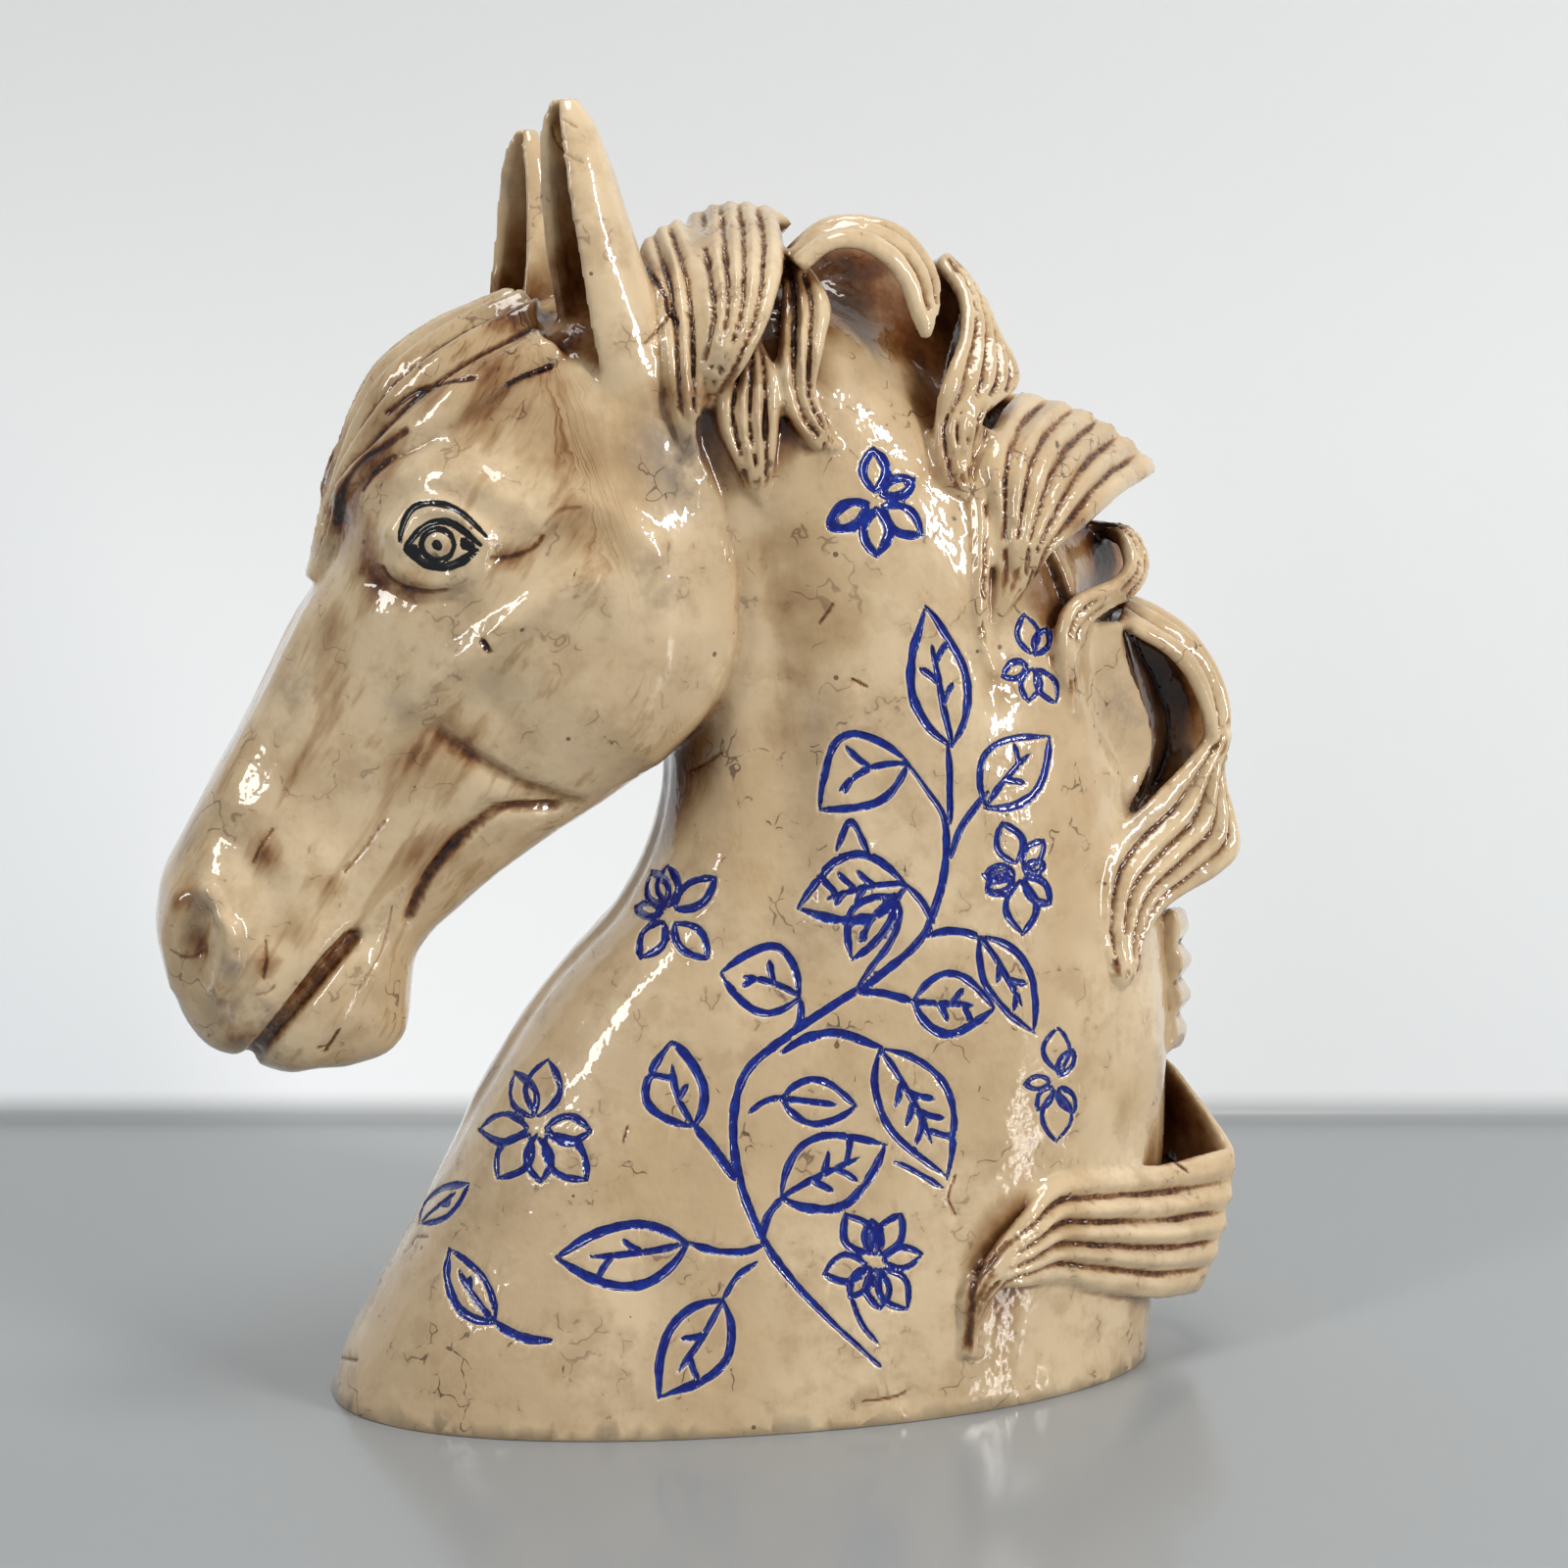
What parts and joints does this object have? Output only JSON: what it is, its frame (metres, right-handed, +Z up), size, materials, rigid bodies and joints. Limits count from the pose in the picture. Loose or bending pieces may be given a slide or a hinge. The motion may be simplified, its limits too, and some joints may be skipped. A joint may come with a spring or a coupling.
{
  "type": "horse bust",
  "caption": "Glazed ceramic horse head and neck bust with pricked ears and a fluted slab mane, cut flat below to stand on a shelf or table",
  "frame": {"origin": "on the flat underside, below the middle of the neck", "axes": "+Z up, the horse faces -X, its left side is -Y"},
  "size_m": [0.2751, 0.1088, 0.3201],
  "materials": {
    "glazed_stoneware": "clear gloss glaze over cream slip, with a brown wash in the recesses"
  },
  "bodies": {
    "root": {"horse_bust": "glazed_stoneware"}
  },
  "joints": []
}
